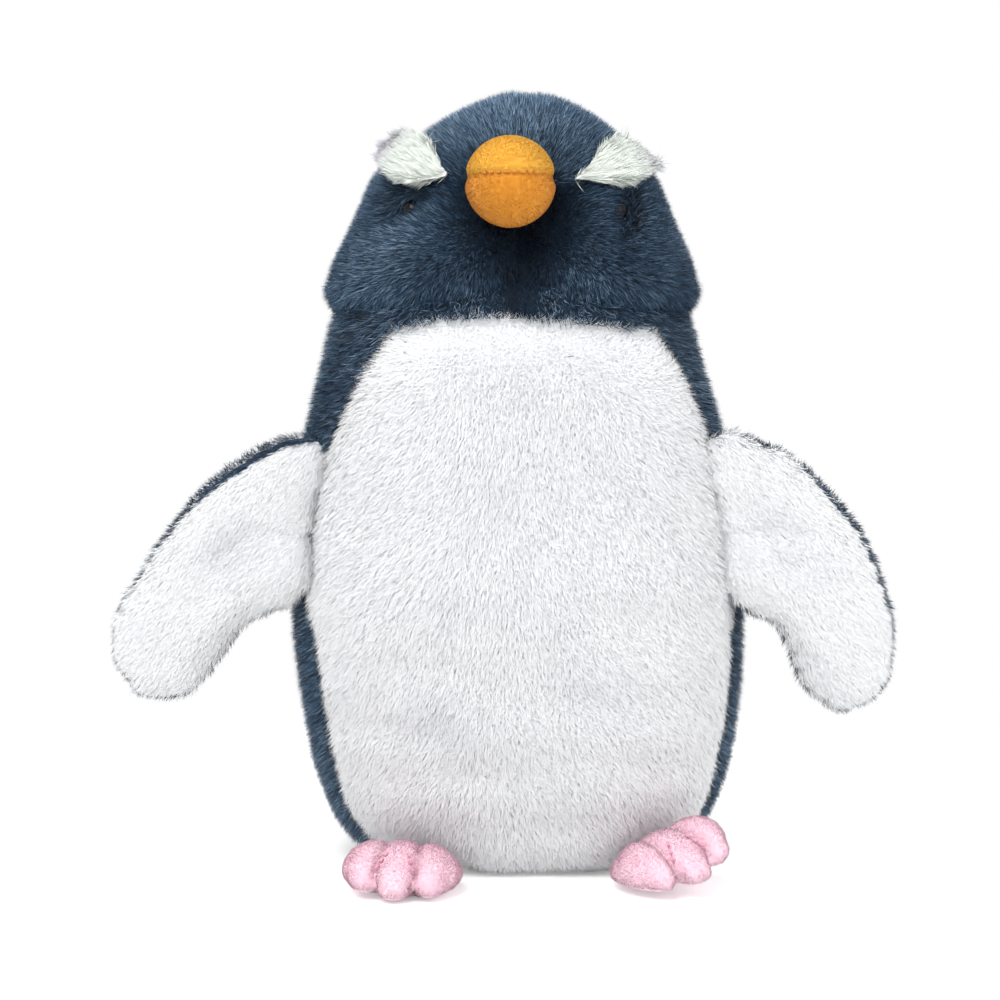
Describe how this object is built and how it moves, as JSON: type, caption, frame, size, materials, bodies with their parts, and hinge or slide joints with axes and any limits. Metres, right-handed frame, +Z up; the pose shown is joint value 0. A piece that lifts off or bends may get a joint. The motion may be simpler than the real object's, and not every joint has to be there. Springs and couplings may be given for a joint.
{
  "type": "plush penguin",
  "caption": "Stuffed long-pile penguin toy with nodding head, fold-out wings, ball-shaped beak, brow tufts and three-toed fleece feet, resting upright on a flat base.",
  "frame": {"origin": "centre of the flat base on which the toy rests upright, under the neck", "axes": "+Z up, the face looks along -Y, and +X is to the penguin's left"},
  "size_m": [0.2492, 0.1313, 0.2476],
  "materials": {
    "white_pile": "matte",
    "navy_pile": "matte",
    "brow_pile": "matte",
    "orange_fleece": "matte",
    "amber_fleece": "matte",
    "pink_fleece": "matte",
    "orange_thread": "matte",
    "pink_thread": "matte",
    "stuffing": "matte",
    "lining": "matte",
    "eye_bead": "gloss",
    "washer_plastic": "matte"
  },
  "bodies": {
    "torso": {"belly_panel": "white_pile", "chin_panel": "navy_pile", "back_panel_left": "navy_pile", "back_panel_right": "navy_pile", "base_panel": "navy_pile", "body_stuffing": "stuffing", "pellet_bag": "lining"},
    "head": {"head_panel_left": "navy_pile", "head_panel_right": "navy_pile", "head_stuffing": "stuffing", "brow_tuft_left": "brow_pile", "brow_tuft_right": "brow_pile", "beak_upper": "orange_fleece", "beak_lower": "amber_fleece", "beak_stuffing": "stuffing", "mouth_stitches": "orange_thread", "eye_left": "eye_bead", "eye_right": "eye_bead", "eye_washer_left": "washer_plastic", "eye_washer_right": "washer_plastic"},
    "wing_left": {"wing_front_left": "white_pile", "wing_back_left": "navy_pile", "wing_stuffing_left": "stuffing"},
    "wing_right": {"wing_front_right": "white_pile", "wing_back_right": "navy_pile", "wing_stuffing_right": "stuffing"},
    "foot_left": {"foot_top_left": "pink_fleece", "foot_sole_left": "pink_fleece", "foot_stuffing_left": "stuffing", "toe_stitches_left": "pink_thread"},
    "foot_right": {"foot_top_right": "pink_fleece", "foot_sole_right": "pink_fleece", "foot_stuffing_right": "stuffing", "toe_stitches_right": "pink_thread"}
  },
  "joints": [
    {"name": "head_nod", "type": "hinge", "parent": "torso", "child": "head", "pos_m": [0, -0.003, 0.12232], "axis": [1, 0, 0], "range_deg": [-8, 10]},
    {"name": "wing_left_fold", "type": "hinge", "parent": "torso", "child": "wing_left", "pos_m": [0.0719, -0.024, 0.112], "axis": [0.1017, 0, -0.9948], "range_deg": [-50, 75]},
    {"name": "wing_right_fold", "type": "hinge", "parent": "torso", "child": "wing_right", "pos_m": [-0.0719, -0.024, 0.112], "axis": [0.1017, 0, 0.9948], "range_deg": [-50, 75]},
    {"name": "foot_left_fold", "type": "hinge", "parent": "torso", "child": "foot_left", "pos_m": [0.04049, -0.04314, 0.00848], "axis": [-0.8603, -0.4574, -0.2249], "range_deg": [-25, 10]},
    {"name": "foot_right_fold", "type": "hinge", "parent": "torso", "child": "foot_right", "pos_m": [-0.0322, -0.045, 0.0046], "axis": [-0.9877, 0.1564, 0], "range_deg": [-25, 7]}
  ]
}
